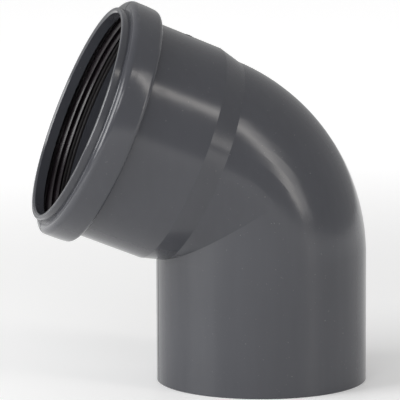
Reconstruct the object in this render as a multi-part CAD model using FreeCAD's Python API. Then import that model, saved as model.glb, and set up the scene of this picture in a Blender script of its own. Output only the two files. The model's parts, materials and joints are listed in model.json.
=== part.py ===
import FreeCAD, Part
import math
import os

# Push-fit drain bend, DN 110 x 67.5 degrees: spigot at the bottom, ring-seal socket at the top.
# The moulding, its rubber lip seal and the seal's support ring are separate pieces.
# Origin: centre of the spigot's end face. +Z runs up the spigot and the bend leans towards -X.
# Places on the socket are measured along its axis from the end of the bend. Millimetres.

# Pipe and bend
PIPE_OD = 110.0              # outside of the spigot, and of a pipe that fits the socket
WALL = 3.2                   # wall of the spigot and of the bend
BEND_ANGLE = 67.5            # degrees
BEND_RADIUS = 55.5           # centre line of the bend
SPIGOT_LENGTH = 65.8         # straight length below the bend
END_BREAK = 0.35             # bevel round the spigot's end
CREASE_REACH = 24.0          # distance from the bend's axis within which the throat is mitred
CREASE_FADE = 40.0           # distance over which the mitre blends into the round bend

# Socket
PIPE_PLAY = 0.4              # radial play of a pipe in the socket
SOCKET_DEPTH = 60.0          # from the stop to the rim
SOCKET_LENGTH = 68.0         # from the end of the bend to the rim
SOCKET_WALL = 2.6            # wall at the start of the barrel
BARREL_DRAFT = 0.25          # radial growth of the barrel's outside up to the bead
CONE_START = -2.0            # where the outside starts to widen
CONE_END = 10.0              # where it has reached the barrel
STOP_SLOPE = 2.5             # axial length of the sloped stop that a pipe meets
LEAD_IN = 0.8                # bevel inside the rim
RIM_BREAK = 0.4              # bevel outside the rim

# Seal chamber, which shows outside as a bead
LIP_LENGTH = 3.8             # plain ring in front of the bead
LIP_WALL = 2.75              # wall of that ring
BEAD_LENGTH = 16.6           # along the axis
BEAD_HEIGHT = 5.75           # above the barrel
BEAD_FRONT_ROUND = 3.2       # radius of the bead's front edge
FRONT_LEDGE = 0.35           # the flat ring at the foot of the bead's front stands out this far
BEAD_REAR_ROUND = 2.3        # radius of the bead's rear edge
BEAD_CROWN_RADIUS = 80.0     # of the shallow curve by which the bead falls towards its rear
BEAD_CROWN_LENGTH = 7.0      # of that curve, along the axis
CHAMBER_WALL = 2.6           # wall round and behind the seal chamber
FRONT_WALL = 1.8             # wall in front of the seal chamber

# Seal and support ring
SEAL_BACK_PLAY = 0.05        # radial gap between the rings and the chamber's floor
PRESSED_LIP_PLAY = 0.25      # radial gap between the pressed-back lips and a pipe
SEAL_BACK = 1.8              # thickness of the seal's back
LIP_COUNT = 3                # sealing lips
LIP_THICKNESS = 1.1          # each lip, along the axis
LIP_LEAN = 0.6               # how far a lip's edge leans inwards
FIRST_LIP = 1.3              # from the chamber's front wall to the middle of the first lip
SUPPORT_LENGTH = 3.4         # support ring, along the axis
SUPPORT_BEVEL = 0.8          # bevel on the support ring's inner edges

# Worked out from the sizes above
PIPE_R = PIPE_OD / 2
FLOW_R = PIPE_R - WALL
SOCKET_R = PIPE_R + PIPE_PLAY
BARREL_R = SOCKET_R + SOCKET_WALL
BEAD_FOOT_R = BARREL_R + BARREL_DRAFT
BEAD_R = BEAD_FOOT_R + BEAD_HEIGHT
LIP_R = SOCKET_R + LIP_WALL
STOP = SOCKET_LENGTH - SOCKET_DEPTH
BEAD_FRONT = SOCKET_LENGTH - LIP_LENGTH
BEAD_REAR = BEAD_FRONT - BEAD_LENGTH
CHAMBER_R = BEAD_R - CHAMBER_WALL
CHAMBER_FRONT = BEAD_FRONT - FRONT_WALL
CHAMBER_REAR = BEAD_REAR + CHAMBER_WALL
SEAL_REAR = CHAMBER_REAR + SUPPORT_LENGTH
RING_R = CHAMBER_R - SEAL_BACK_PLAY
PRESSED_R = PIPE_R + PRESSED_LIP_PLAY
ANGLE = math.radians(BEND_ANGLE)
HALF = ANGLE / 2

# Modelling constants
UNDER_SKIN = 0.1             # how far a fused piece starts below the surface it grows out of
PAST = 1.0                   # how far a cut runs past the face it opens
SECTIONS = 9                 # cross-sections in each half of the bend
SECTION_POINTS = 72          # points round each cross-section
FUZZ = 0.001                 # tolerance when fused faces meet


def vec(x, y, z):
    return FreeCAD.Vector(x, y, z)


def bend_point(turn, along, across):
    """Point at an angle of turn, at a distance along from the bend's axis and across it."""
    x = -BEND_RADIUS + along * math.cos(turn)
    z = SPIGOT_LENGTH + along * math.sin(turn)
    return vec(x, across, z)


def socket_point(place, radius):
    """Point in the plane Y = 0, at a place on the socket's axis and a radius outside it."""
    foot = bend_point(ANGLE, BEND_RADIUS + radius, 0)
    return foot + socket_axis() * place


def socket_axis():
    return vec(-math.sin(ANGLE), 0, math.cos(ANGLE))


def socket_base():
    return bend_point(ANGLE, BEND_RADIUS, 0)


def mitre_share(distance):
    """1 in the throat, falling smoothly to 0 towards the outside of the bend."""
    x = (distance - CREASE_REACH) / CREASE_FADE
    x = min(max(x, 0.0), 1.0)
    return 1.0 - x * x * (3.0 - 2.0 * x)


def bend_section(turn, radius):
    """Closed outline round the bend at an angle of turn."""
    from_end = min(turn, ANGLE - turn)
    stretch = 1.0 / math.cos(from_end) - 1.0
    points = []
    for i in range(SECTION_POINTS):
        around = 2.0 * math.pi * i / SECTION_POINTS
        distance = BEND_RADIUS + radius * math.cos(around)
        distance *= 1.0 + mitre_share(distance) * stretch
        points.append(bend_point(turn, distance, radius * math.sin(around)))
    curve = Part.BSplineCurve()
    curve.interpolate(Points=points, PeriodicFlag=True)
    return Part.Wire([curve.toShape()])


def bend_halves(radius):
    """The bend as two solids that meet in its mid plane, where the throat has its crease."""
    halves = []
    for first in (0.0, HALF):
        turns = [first + HALF * i / (SECTIONS - 1) for i in range(SECTIONS)]
        halves.append(Part.makeLoft([bend_section(t, radius) for t in turns], True, False))
    return halves


def spun(edges):
    """Solid of the closed outline turned about the socket's axis."""
    face = Part.Face(Part.Wire(edges))
    return face.revolve(socket_base(), socket_axis(), 360)


def chain(corners):
    """Straight edges from each (place, radius) corner to the next."""
    points = [socket_point(*corner) for corner in corners]
    return [Part.LineSegment(a, b).toShape() for a, b in zip(points, points[1:])]


def loop(corners):
    """Straight edges of a closed outline."""
    return chain(corners + corners[:1])


def arc(centre, radius, start_angle, end_angle):
    """Arc round (place, radius) from one angle to another, in degrees."""
    points = []
    for angle in (start_angle, (start_angle + end_angle) / 2.0, end_angle):
        a = math.radians(angle)
        points.append(socket_point(centre[0] + radius * math.cos(a), centre[1] + radius * math.sin(a)))
    return Part.Arc(*points).toShape()


def socket_outside():
    """The socket without its bore: cone, barrel, bead and lip."""
    rear_place = BEAD_REAR + BEAD_REAR_ROUND
    crown_middle = (rear_place + BEAD_CROWN_LENGTH, BEAD_R - BEAD_CROWN_RADIUS)
    apart = BEAD_CROWN_RADIUS - BEAD_REAR_ROUND
    tilt = math.asin(BEAD_CROWN_LENGTH / apart)
    rear_middle = (rear_place, crown_middle[1] + apart * math.cos(tilt))
    crown_end = 90.0 + math.degrees(tilt)
    front_round = BEAD_FRONT - FRONT_LEDGE
    front_middle = (front_round - BEAD_FRONT_ROUND, BEAD_R - BEAD_FRONT_ROUND)
    before = [
        (CONE_START, 0.0),
        (CONE_START, PIPE_R - UNDER_SKIN),
        (CONE_END, BARREL_R),
        (BEAD_REAR, BEAD_FOOT_R),
        (BEAD_REAR, rear_middle[1]),
    ]
    after = [
        (front_round, front_middle[1]),
        (BEAD_FRONT, front_middle[1] - FRONT_LEDGE),
        (BEAD_FRONT, LIP_R),
        (SOCKET_LENGTH - RIM_BREAK, LIP_R),
        (SOCKET_LENGTH, LIP_R - RIM_BREAK),
        (SOCKET_LENGTH, 0.0),
    ]
    edges = chain(before)
    edges.append(arc(rear_middle, BEAD_REAR_ROUND, 180.0, crown_end))
    edges.append(arc(crown_middle, BEAD_CROWN_RADIUS, crown_end, 90.0))
    edges += chain([(crown_middle[0], BEAD_R), (front_middle[0], BEAD_R)])
    edges.append(arc(front_middle, BEAD_FRONT_ROUND, 90.0, 0.0))
    edges += chain(after)
    edges += chain([after[-1], before[0]])
    return spun(edges)


def socket_cavity():
    """What is cut out of the socket: flow bore, stop, pipe bore, seal chamber and lead-in."""
    corners = [
        (0.0, 0.0),
        (0.0, FLOW_R),
        (STOP - STOP_SLOPE, FLOW_R),
        (STOP, SOCKET_R),
        (CHAMBER_REAR, SOCKET_R),
        (CHAMBER_REAR, CHAMBER_R),
        (CHAMBER_FRONT, CHAMBER_R),
        (CHAMBER_FRONT, SOCKET_R),
        (SOCKET_LENGTH - LEAD_IN, SOCKET_R),
        (SOCKET_LENGTH, SOCKET_R + LEAD_IN),
        (SOCKET_LENGTH + PAST, SOCKET_R + LEAD_IN),
        (SOCKET_LENGTH + PAST, 0.0),
    ]
    return spun(loop(corners))


def spigot_outside():
    tube = Part.makeCylinder(PIPE_R, SPIGOT_LENGTH)
    ends = [edge for edge in tube.Edges if edge.Length > PIPE_OD and edge.BoundBox.ZMax < PAST]
    return tube.makeChamfer(END_BREAK, ends)


def spigot_bore():
    return Part.makeCylinder(FLOW_R, SPIGOT_LENGTH + PAST, vec(0, 0, -PAST))


def elbow_body():
    """The moulding in one piece: spigot, bend and socket, with the way through them."""
    outside = spigot_outside().fuse(bend_halves(PIPE_R) + [socket_outside()], FUZZ)
    way_through = spigot_bore().fuse(bend_halves(FLOW_R) + [socket_cavity()], FUZZ)
    return outside.cut(way_through)


def lip_seal():
    """Rubber ring that fills the front of the chamber, with lips leaning inwards."""
    back_r = RING_R - SEAL_BACK
    corners = [(SEAL_REAR, RING_R), (CHAMBER_FRONT, RING_R), (CHAMBER_FRONT, back_r)]
    first = CHAMBER_FRONT - FIRST_LIP
    last = SEAL_REAR + LIP_THICKNESS / 2 + LIP_LEAN
    for i in range(LIP_COUNT):
        middle = first + (last - first) * i / (LIP_COUNT - 1)
        front = middle + LIP_THICKNESS / 2
        rear = middle - LIP_THICKNESS / 2
        corners.append((front, back_r))
        corners.append((front - LIP_LEAN, PRESSED_R))
        corners.append((rear - LIP_LEAN, PRESSED_R))
        corners.append((rear, back_r))
    corners.append((SEAL_REAR, back_r))
    return spun(loop(corners))


def seal_support_ring():
    """Stiff ring behind the seal that keeps it in the chamber while a pipe is pushed in."""
    corners = [
        (CHAMBER_REAR, RING_R),
        (SEAL_REAR, RING_R),
        (SEAL_REAR, PRESSED_R + SUPPORT_BEVEL),
        (SEAL_REAR - SUPPORT_BEVEL, PRESSED_R),
        (CHAMBER_REAR + SUPPORT_BEVEL, PRESSED_R),
        (CHAMBER_REAR, PRESSED_R + SUPPORT_BEVEL),
    ]
    return spun(loop(corners))


def write_piece(name, shape):
    """One STEP file per piece, holding its one solid."""
    solids = shape.Solids
    assert shape.isValid() and len(solids) == 1, name
    solids[0].exportStep(f"parts/{name}.step")


os.makedirs("parts", exist_ok=True)
write_piece("elbow_body", elbow_body())
write_piece("lip_seal", lip_seal())
write_piece("seal_support_ring", seal_support_ring())
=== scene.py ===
import json
import math

import bpy
from mathutils import Matrix, Vector


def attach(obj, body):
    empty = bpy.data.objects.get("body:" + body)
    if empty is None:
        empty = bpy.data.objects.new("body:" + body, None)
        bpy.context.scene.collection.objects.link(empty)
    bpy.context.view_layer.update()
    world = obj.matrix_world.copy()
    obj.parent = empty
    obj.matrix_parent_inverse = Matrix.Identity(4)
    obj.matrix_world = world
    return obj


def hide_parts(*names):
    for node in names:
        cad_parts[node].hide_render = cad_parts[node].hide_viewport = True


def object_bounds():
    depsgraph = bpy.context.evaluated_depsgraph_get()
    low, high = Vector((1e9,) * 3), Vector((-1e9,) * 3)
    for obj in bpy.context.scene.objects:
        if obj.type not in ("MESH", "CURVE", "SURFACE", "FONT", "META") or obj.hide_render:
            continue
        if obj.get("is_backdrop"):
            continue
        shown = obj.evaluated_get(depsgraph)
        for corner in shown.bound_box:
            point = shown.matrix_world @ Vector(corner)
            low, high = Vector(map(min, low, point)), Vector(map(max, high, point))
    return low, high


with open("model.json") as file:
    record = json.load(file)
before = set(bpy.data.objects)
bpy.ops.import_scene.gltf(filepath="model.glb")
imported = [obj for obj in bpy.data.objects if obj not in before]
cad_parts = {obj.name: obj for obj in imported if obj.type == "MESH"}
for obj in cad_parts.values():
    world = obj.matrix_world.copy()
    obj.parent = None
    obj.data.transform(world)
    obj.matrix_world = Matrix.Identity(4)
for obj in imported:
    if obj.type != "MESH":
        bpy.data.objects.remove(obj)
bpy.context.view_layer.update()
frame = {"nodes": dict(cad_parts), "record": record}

# ---------------------------------------------------------------- sizes and places, in metres

MM = 0.001
MOUNTS = {mount["name"]: mount for mount in frame["record"]["mounts"]}
SOCKET_AXIS = Vector(MOUNTS["socket"]["axis"]).normalized()
SOCKET_MIDDLE = Vector(MOUNTS["socket"]["pos_m"])
PIPE_R = MOUNTS["spigot"]["dims"]["r_mm"] * MM
SPIGOT_LENGTH = MOUNTS["spigot"]["dims"]["length_mm"] * MM
SPIGOT_BREAK = 0.35 * MM        # broken edge at the spigot's end, which its mount leaves out

# the bend starts at the top of the spigot's straight, and its two straights cross at AXES_CROSS
BEND_START = SPIGOT_LENGTH + SPIGOT_BREAK
BEND_ANGLE = Vector((0, 0, 1)).angle(SOCKET_AXIS)
AXES_CROSS = SOCKET_MIDDLE.z - SOCKET_MIDDLE.x * SOCKET_AXIS.z / SOCKET_AXIS.x
BEND_RADIUS = (AXES_CROSS - BEND_START) / math.tan(BEND_ANGLE / 2)
BEND_CENTRE = Vector((-BEND_RADIUS, 0, BEND_START))
BEND_END = BEND_CENTRE + BEND_RADIUS * Vector((math.cos(BEND_ANGLE), 0, math.sin(BEND_ANGLE)))
BEND_END_ALONG = (BEND_END - SOCKET_MIDDLE).dot(SOCKET_AXIS)


def along_and_out(node):
    """Lowest and highest place along the socket's axis, and the radii, of a CAD node in the socket."""
    offsets = [corner.co - SOCKET_MIDDLE for corner in frame["nodes"][node].data.vertices]
    places = [offset.dot(SOCKET_AXIS) for offset in offsets]
    radii = [offset.cross(SOCKET_AXIS).length for offset in offsets]
    return min(places), max(places), min(radii), max(radii)


RIM = along_and_out("elbow_body")[1]
SEAL_REAR, SEAL_FRONT, _, SEAL_R = along_and_out("lip_seal")
SUPPORT_REAR, SUPPORT_FRONT, SUPPORT_INNER_R, SUPPORT_R = along_and_out("seal_support_ring")

RING_STEPS = 144                # facets round each turned ring
RING_PLAY = 0.02 * MM           # the turned rings stay this far inside their CAD solids
SEAL_BACK = 1.8 * MM            # thickness of the seal behind its lips
SEAL_SETBACK = 0.9 * MM         # its front edge lies this far behind that of its CAD solid
# of each free lip, in mm: its place behind the seal's front, the height of its root,
# and how far its tip leans back and reaches in beyond the root
LIPS = ((1.55, 2.2, 1.8, 1.9), (4.35, 2.2, 2.2, 2.6))
LINE_WIDTH = 0.35 * MM          # mould parting line
LINE_HEIGHT = 0.09 * MM
LINE_ROOT = 0.03 * MM           # how deep it sits in the body
SCAR_R = 1.9 * MM               # gate scar on top of the socket
SCAR_BEHIND_RIM = 40 * MM
SCAR_SINK = 0.12 * MM
WELD = 0.002 * MM               # vertices closer than this are merged
OUTSIDE = 0.2                   # far enough from the socket's axis to be outside the body


# ---------------------------------------------------------------- shader arithmetic

class Wire:
    """A shader socket. Arithmetic on it adds Math nodes, and node() adds any other node."""

    def __init__(self, tree, socket=None):
        self.tree = tree
        self.socket = socket

    def node(self, kind, settings=None, output=0, inputs=None):
        """Adds a node, sets it up, feeds its sockets with values or wires and returns one output."""
        made = self.tree.nodes.new(kind)
        for key, value in (settings or {}).items():
            setattr(made, key, value)
        for place, value in (inputs or {}).items():
            feed(made.inputs[place], value)
        return Wire(self.tree, made.outputs[output])

    def maths(self, operation, first, second):
        return self.node("ShaderNodeMath", {"operation": operation}, inputs={0: first, 1: second})

    def __add__(self, other):
        return self.maths("ADD", self, other)

    def __sub__(self, other):
        return self.maths("SUBTRACT", self, other)

    def __rsub__(self, other):
        return self.maths("SUBTRACT", other, self)

    def __mul__(self, other):
        return self.maths("MULTIPLY", self, other)

    __radd__ = __add__
    __rmul__ = __mul__


def feed(socket, value):
    """Links a wire to a socket, or sets the socket to a plain value."""
    if isinstance(value, Wire):
        value.tree.links.new(value.socket, socket)
    else:
        socket.default_value = value


def new_material(name, colour_and_gloss):
    """A material whose Principled shader gets the sockets that the given function returns."""
    material = bpy.data.materials.new(name)
    material.use_nodes = True
    shader = material.node_tree.nodes["Principled BSDF"]
    place = Wire(material.node_tree).node("ShaderNodeTexCoord", output="Object")
    for socket, value in colour_and_gloss(place).items():
        feed(shader.inputs[socket], value)
    return material


def stretched(place, turn, scale):
    return place.node("ShaderNodeMapping", inputs={"Vector": place, "Rotation": turn, "Scale": scale})


def noise(place, scale, detail=2.0):
    return place.node("ShaderNodeTexNoise", inputs={"Vector": place, "Scale": scale, "Detail": detail})


def above(wire, low, high):
    """0 below low, 1 above high and smooth between."""
    settings = {"interpolation_type": "SMOOTHSTEP"}
    inputs = {"Value": wire, "From Min": low, "From Max": high}
    return wire.node("ShaderNodeMapRange", settings, inputs=inputs)


def blend_colours(share, first, second):
    """Mix of two colours; a Mix node keeps its colour sockets at inputs 6 and 7 and output 2."""
    return share.node("ShaderNodeMix", {"data_type": "RGBA"}, 2, {0: share, 6: first, 7: second})


def bump(height, strength, distance):
    inputs = {"Height": height, "Strength": strength, "Distance": distance}
    return height.node("ShaderNodeBump", inputs=inputs)


# ---------------------------------------------------------------- materials

def moulded_pvc(place):
    """Semi-gloss dark grey PVC with faint clouding, flow marks, dust specks and dull scuffs."""
    cloud = noise(place, 26, 3)
    flow = noise(stretched(place, (0, 0, 0), (1, 1, 0.08)), 240)
    grain = noise(place, 1500)
    specks = above(noise(place, 1100, 0), 0.80, 0.86)
    scuffs = above(noise(place, 90, 4), 0.60, 0.72)
    base = blend_colours(cloud * 0.6 + flow * 0.4, (0.042, 0.0435, 0.051, 1), (0.058, 0.060, 0.070, 1))
    base = blend_colours(specks * 0.15, base, (0.25, 0.25, 0.25, 1))
    roughness = cloud * 0.05 + flow * 0.03 + scuffs * 0.05 + specks * 0.10 + 0.13
    height = cloud * 0.5 + flow * 0.12 + grain * 0.10 - scuffs * 0.1
    normal = bump(height, 0.10, 0.0002)
    return {"Base Color": base, "Roughness": roughness, "IOR": 1.53, "Normal": normal}


def seal_rubber(place):
    """Black moulded rubber with a smear of grease that comes and goes round the ring."""
    smear = noise(place, 45, 3)
    grain = noise(place, 1600)
    base = blend_colours(smear, (0.004, 0.003, 0.004, 1), (0.018, 0.012, 0.016, 1))
    roughness = smear * 0.24 + 0.13
    normal = bump(grain, 0.15, 0.0001)
    return {"Base Color": base, "Roughness": roughness, "IOR": 1.5, "Normal": normal}


def ring_plastic(place):
    """Satin brown-black polypropylene with fine turning marks."""
    smear = noise(place, 60)
    grain = noise(place, 1200)
    base = blend_colours(smear, (0.006, 0.005, 0.006, 1), (0.013, 0.010, 0.011, 1))
    return {"Base Color": base, "Roughness": smear * 0.2 + 0.36, "Normal": bump(grain, 0.12, 0.0001)}


def trimmed_pvc(place):
    """The body's plastic where it was cut or squeezed in the mould: rougher and paler."""
    grain = noise(place, 2500, 3)
    base = blend_colours(grain, (0.050, 0.053, 0.057, 1), (0.085, 0.088, 0.092, 1))
    roughness = grain * 0.2 + 0.35
    normal = bump(grain, 0.3, 0.0001)
    return {"Base Color": base, "Roughness": roughness, "IOR": 1.53, "Normal": normal}


def studio_white(place):
    """White table that glows a little, and more further off, so that it stays white to the horizon."""
    distance = place.node("ShaderNodeVectorMath", {"operation": "LENGTH"}, "Value", {0: place})
    near, far = (FLOOR_NEAR,) * 3 + (1,), (FLOOR_FAR,) * 3 + (1,)
    glow = blend_colours(above(distance, *FLOOR_FADE), near, far)
    return {"Base Color": (0.9, 0.9, 0.9, 1), "Emission Color": glow, "Emission Strength": 1}


# ---------------------------------------------------------------- modelling steps

def only(piece):
    """Selects one object alone and makes it active."""
    bpy.ops.object.select_all(action="DESELECT")
    piece.select_set(True)
    bpy.context.view_layer.objects.active = piece


def select(piece, kind, keep):
    """In edit mode, selects just the vertices, edges or faces that the test keeps."""
    bpy.ops.mesh.select_mode(type=kind)
    bpy.ops.mesh.select_all(action="DESELECT")
    bpy.ops.object.mode_set(mode="OBJECT")
    mesh = piece.data
    for element in {"VERT": mesh.vertices, "EDGE": mesh.edges, "FACE": mesh.polygons}[kind]:
        element.select = bool(keep(element))
    bpy.ops.object.mode_set(mode="EDIT")


def settle(piece, smooth_angle=35):
    """Merges doubles, turns the faces outwards and smooths all but the sharp edges."""
    only(piece)
    bpy.ops.object.mode_set(mode="EDIT")
    bpy.ops.mesh.select_all(action="SELECT")
    bpy.ops.mesh.remove_doubles(threshold=WELD)
    bpy.ops.mesh.normals_make_consistent(inside=False)
    bpy.ops.object.mode_set(mode="OBJECT")
    bpy.ops.object.shade_smooth_by_angle(angle=math.radians(smooth_angle))


def round_edges(piece, width, segments=3, angle=28):
    only(piece)
    edge = piece.modifiers.new("round", "BEVEL")
    edge.width = width
    edge.segments = segments
    edge.limit_method = "ANGLE"
    edge.angle_limit = math.radians(angle)
    bpy.ops.object.modifier_apply(modifier=edge.name)


def place_along_socket(piece):
    """Turns a piece made round +Z, with places along the socket as heights, into the socket."""
    only(piece)
    turn = Vector((0, 0, 1)).rotation_difference(SOCKET_AXIS).to_matrix().to_4x4()
    piece.matrix_world = Matrix.Translation(SOCKET_MIDDLE) @ turn
    bpy.ops.object.transform_apply(location=True, rotation=True, scale=True)


def turned_ring(name, outline):
    """Draws an outline of (radius, height) corners by extruding a point, then spins it round Z."""
    bpy.ops.object.select_all(action="DESELECT")
    bpy.ops.mesh.primitive_plane_add(size=MM)
    ring = bpy.context.object
    ring.name = name
    bpy.ops.object.mode_set(mode="EDIT")
    bpy.ops.mesh.merge(type="CENTER")
    here = Vector((0, 0, 0))
    for step, (radius, height) in enumerate(outline + outline[:1]):
        move = Vector((radius, 0, height)) - here
        if step == 0:
            bpy.ops.transform.translate(value=move)
        else:
            bpy.ops.mesh.extrude_region_move(TRANSFORM_OT_translate={"value": move})
        here = Vector((radius, 0, height))
    bpy.ops.mesh.select_all(action="SELECT")
    bpy.ops.mesh.remove_doubles(threshold=WELD)
    bpy.ops.mesh.spin(steps=RING_STEPS, angle=math.tau, center=(0, 0, 0), axis=(0, 0, 1))
    bpy.ops.object.mode_set(mode="OBJECT")
    settle(ring)
    return ring


def finish(piece, material):
    piece.data.materials.clear()
    piece.data.materials.append(material)
    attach(piece, "root")


# ---------------------------------------------------------------- pieces

def free_lip_seal(material):
    """Seal ring as it is with no pipe in the socket: a dust rib in front and two free lips behind it."""
    back = SEAL_R - SEAL_BACK
    front = SEAL_FRONT - SEAL_SETBACK
    outline = [
        (SEAL_R - RING_PLAY, SEAL_REAR + RING_PLAY),
        (SEAL_R - RING_PLAY, front - 0.5 * MM),
        (SEAL_R - 0.8 * MM, front),
        (back - 1.5 * MM, front),
        (back - 1.5 * MM, front - 0.75 * MM),
        (back, front - 1.1 * MM),
    ]
    for root, step, lean, rise in LIPS:
        outline += [
            (back, front - root * MM),
            (back - step * MM, front - (root + 0.1) * MM),
            (back - (step + rise) * MM, front - (root + 0.1 + lean) * MM),
            (back - (step + rise) * MM, front - (root + 0.55 + lean) * MM),
            (back - (step + 0.2) * MM, front - (root + 1.7) * MM),
            (back, front - (root + 2.2) * MM),
        ]
    outline.append((back, SEAL_REAR + RING_PLAY))
    seal = turned_ring("free_lip_seal", outline)
    place_along_socket(seal)
    round_edges(seal, 0.14 * MM)
    settle(seal)
    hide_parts("lip_seal")
    finish(seal, material)


def grooved_support_ring(material):
    """Support ring behind the seal, with a shallow groove turned into its inner face."""
    middle = (SUPPORT_REAR + SUPPORT_FRONT) / 2
    inner = SUPPORT_INNER_R + RING_PLAY
    outline = [
        (SUPPORT_R - RING_PLAY, SUPPORT_REAR + 0.6 * MM),
        (SUPPORT_R - RING_PLAY, SUPPORT_FRONT - RING_PLAY),
        (inner + 0.3 * MM, SUPPORT_FRONT - RING_PLAY),
        (inner, SUPPORT_FRONT - 0.4 * MM),
        (inner, middle + 0.45 * MM),
        (inner + 0.3 * MM, middle + 0.25 * MM),
        (inner + 0.3 * MM, middle - 0.25 * MM),
        (inner, middle - 0.45 * MM),
        (inner, SUPPORT_REAR + 0.4 * MM),
        (inner + 0.3 * MM, SUPPORT_REAR + 0.05 * MM),
        (SUPPORT_R - 0.7 * MM, SUPPORT_REAR + 0.05 * MM),
    ]
    ring = turned_ring("grooved_support_ring", outline)
    place_along_socket(ring)
    round_edges(ring, 0.08 * MM, 2)
    settle(ring)
    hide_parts("seal_support_ring")
    finish(ring, material)


def way_middle(point):
    """Nearest place to a point on the line down the middle of the way through."""
    along = (point - SOCKET_MIDDLE).dot(SOCKET_AXIS)
    bend = BEND_CENTRE
    if point.z < bend.z:
        return Vector((0, 0, point.z))
    if along > BEND_END_ALONG:
        return SOCKET_MIDDLE + SOCKET_AXIS * along
    flat = Vector((point.x - bend.x, 0, point.z - bend.z))
    return bend + flat.normalized() * -bend.x


def mould_parting_line(material):
    """Fine raised line that the two mould halves leave all round the body in its middle plane."""
    body = frame["nodes"]["elbow_body"]
    only(body)
    bpy.ops.object.duplicate()
    line = bpy.context.object
    line.name = "mould_parting_line"
    for key in list(line.keys()):       # a copy of a CAD node, but not a node itself
        del line[key]
    line.parent = None
    bpy.ops.object.mode_set(mode="EDIT")
    bpy.ops.mesh.select_all(action="SELECT")
    bpy.ops.mesh.remove_doubles(threshold=WELD)
    for side in (1, -1):
        bpy.ops.mesh.select_all(action="SELECT")
        plane = (0, side * LINE_WIDTH / 2, 0)
        bpy.ops.mesh.bisect(plane_co=plane, plane_no=(0, side, 0), clear_outer=True)

    def inner_or_end(face):
        outward = face.center - way_middle(face.center)
        along = (face.center - SOCKET_MIDDLE).dot(SOCKET_AXIS)
        at_end = face.center.z < 0.5 * MM or along > RIM - 0.5 * MM
        inside = outward.length < PIPE_R - 1.5 * MM
        return at_end or inside or face.normal.dot(outward.normalized()) < -0.05

    select(line, "FACE", inner_or_end)
    bpy.ops.mesh.delete(type="FACE")
    bpy.ops.object.mode_set(mode="OBJECT")
    thick = line.modifiers.new("thickness", "SOLIDIFY")
    thick.thickness = LINE_HEIGHT + LINE_ROOT
    thick.offset = (LINE_HEIGHT - LINE_ROOT) / (LINE_HEIGHT + LINE_ROOT)
    bpy.ops.object.modifier_apply(modifier=thick.name)
    settle(line, 30)
    finish(line, material)


def outside_at(start, direction):
    """Outermost point of the body from a point on the socket's axis straight out."""
    body = frame["nodes"]["elbow_body"]
    _, place, _, _ = body.ray_cast(start + direction * OUTSIDE, -direction)
    return place


def gate_scar(material):
    """Where the runner was snapped off on top of the socket: a low pad with a broken nib."""
    bpy.ops.object.select_all(action="DESELECT")
    bpy.ops.mesh.primitive_cylinder_add(vertices=40, radius=SCAR_R, depth=0.6 * MM)
    scar = bpy.context.object
    scar.name = "gate_scar"
    bpy.ops.object.mode_set(mode="EDIT")
    select(scar, "FACE", lambda face: face.normal.z > 0.9)
    bpy.ops.mesh.inset(thickness=0.5 * MM, depth=0.10 * MM)
    bpy.ops.mesh.inset(thickness=0.5 * MM, depth=-0.08 * MM)
    bpy.ops.mesh.inset(thickness=0.25 * MM, depth=0.16 * MM)
    select(scar, "FACE", lambda face: face.normal.z < -0.9)
    bpy.ops.mesh.inset(thickness=0.6 * MM, depth=0)
    bpy.ops.object.mode_set(mode="OBJECT")
    up = SOCKET_AXIS.cross(Vector((0, 1, 0)))
    up = up if up.z > 0 else -up
    turn = up.to_track_quat("Z", "Y").to_matrix()
    hit = outside_at(SOCKET_MIDDLE + SOCKET_AXIS * (RIM - SCAR_BEHIND_RIM), up)
    scar.matrix_world = Matrix.Translation(hit - up * SCAR_SINK) @ turn.to_4x4()
    bpy.ops.object.transform_apply(location=True, rotation=True, scale=True)
    round_edges(scar, 0.05 * MM, 2)
    settle(scar)
    finish(scar, material)


# ---------------------------------------------------------------- studio

FLOOR_NEAR = 0.15               # brightness of the white table by itself, near the part and far off
FLOOR_FAR = 0.54
FLOOR_FADE = (0.25, 1.2)        # distances between which the first becomes the second
WORLD_GREY = 0.46
AIM = Vector((-0.045, 0, 0.095))
CAMERA_DISTANCE = 1.5
CAMERA_LENS = 260               # mm, on a film 36 mm wide
CAMERA_TURN = 11.765            # degrees
CAMERA_RISE = 8.023
CAMERA_ROLL = -0.282
FRAMING = (12.212 * MM, 1.047 * MM)     # the lens points this far right of AIM, and above it

# longitude and height as seen from the part, distance, width, height, brightness, colour
SOFTBOXES = {
    "key_left": (191, 27, 1.6, 1.00, 1.15, 5.7, (1.0, 1.0, 1.0)),
    "beside_camera": (250, 34, 1.6, 0.75, 0.45, 3.8, (1.0, 1.0, 1.0)),
    "strip_right": (312.0, 24, 3.0, 0.25, 2.30, 4.4, (1.0, 0.96, 0.91)),
    "strip_spill": (318.0, 24, 3.1, 0.45, 2.30, 2.1, (1.0, 0.97, 0.94)),
}


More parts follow.
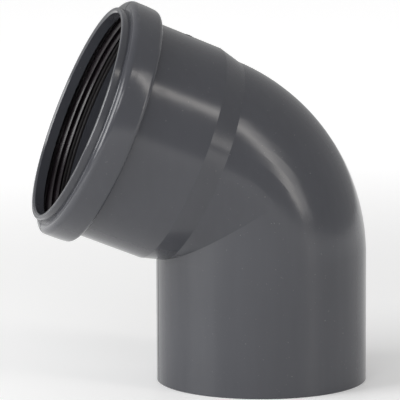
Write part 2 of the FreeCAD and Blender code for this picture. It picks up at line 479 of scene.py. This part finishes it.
def studio_floor():
    bpy.ops.object.select_all(action="DESELECT")
    bpy.ops.mesh.primitive_plane_add(size=20, location=(0, 0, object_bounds()[0][2]))
    floor = bpy.context.object
    floor.name = "studio_floor"
    floor.data.materials.append(new_material("studio_white", studio_white))
    floor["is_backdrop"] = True


def softbox(name, longitude, elevation, distance, width, height, brightness, colour):
    """Area light that faces the part. Its power follows from its size and its surface's brightness."""
    light = bpy.data.lights.new(name, "AREA")
    light.shape = "RECTANGLE"
    light.size = width
    light.size_y = height
    light.energy = brightness * math.pi * width * height
    light.color = colour
    lamp = bpy.data.objects.new(name, light)
    bpy.context.scene.collection.objects.link(lamp)
    turn, rise = math.radians(longitude), math.radians(elevation)
    away = Vector((math.cos(turn) * math.cos(rise), math.sin(turn) * math.cos(rise), math.sin(rise)))
    lamp.location = AIM + away * distance
    lamp.rotation_euler = away.to_track_quat("Z", "Y").to_euler()


def surroundings():
    world = bpy.data.worlds.new("studio")
    world.use_nodes = True
    background = world.node_tree.nodes["Background"]
    background.inputs["Color"].default_value = (1, 1, 1, 1)
    background.inputs["Strength"].default_value = WORLD_GREY
    bpy.context.scene.world = world


def studio_camera():
    """Long lens a little above the part, turned towards the socket's mouth and rolled a touch."""
    turn, rise, roll = (math.radians(angle) for angle in (CAMERA_TURN, CAMERA_RISE, CAMERA_ROLL))
    toward = Vector((-math.sin(turn) * math.cos(rise), -math.cos(turn) * math.cos(rise), math.sin(rise)))
    right = Vector((math.cos(turn), -math.sin(turn), 0))
    up = toward.cross(right)
    aim = AIM + right * FRAMING[0] + up * FRAMING[1]
    data = bpy.data.cameras.new("camera")
    data.sensor_width = 36
    data.lens = CAMERA_LENS
    camera = bpy.data.objects.new("camera", data)
    bpy.context.scene.collection.objects.link(camera)
    level = right * math.cos(roll) + up * math.sin(roll)
    upright = up * math.cos(roll) - right * math.sin(roll)
    frame_turn = Matrix((level, upright, toward)).transposed().to_4x4()
    camera.matrix_world = Matrix.Translation(aim + toward * CAMERA_DISTANCE) @ frame_turn
    bpy.context.scene.camera = camera


# ---------------------------------------------------------------- making

pvc = new_material("moulded_pvc", moulded_pvc)
rubber = new_material("seal_rubber", seal_rubber)
brown_plastic = new_material("ring_plastic", ring_plastic)
cut_pvc = new_material("trimmed_pvc", trimmed_pvc)

CAD_FINISHES = {"elbow_body": pvc, "lip_seal": rubber, "seal_support_ring": brown_plastic}
for node_name, finish_material in CAD_FINISHES.items():
    slots = frame["nodes"][node_name].data.materials
    slots.clear()
    slots.append(finish_material)

free_lip_seal(rubber)
grooved_support_ring(brown_plastic)
mould_parting_line(cut_pvc)
gate_scar(cut_pvc)

studio_floor()
surroundings()
for box_name, setting in SOFTBOXES.items():
    softbox(box_name, *setting)
studio_camera()
bpy.context.scene.view_settings.view_transform = "Standard"
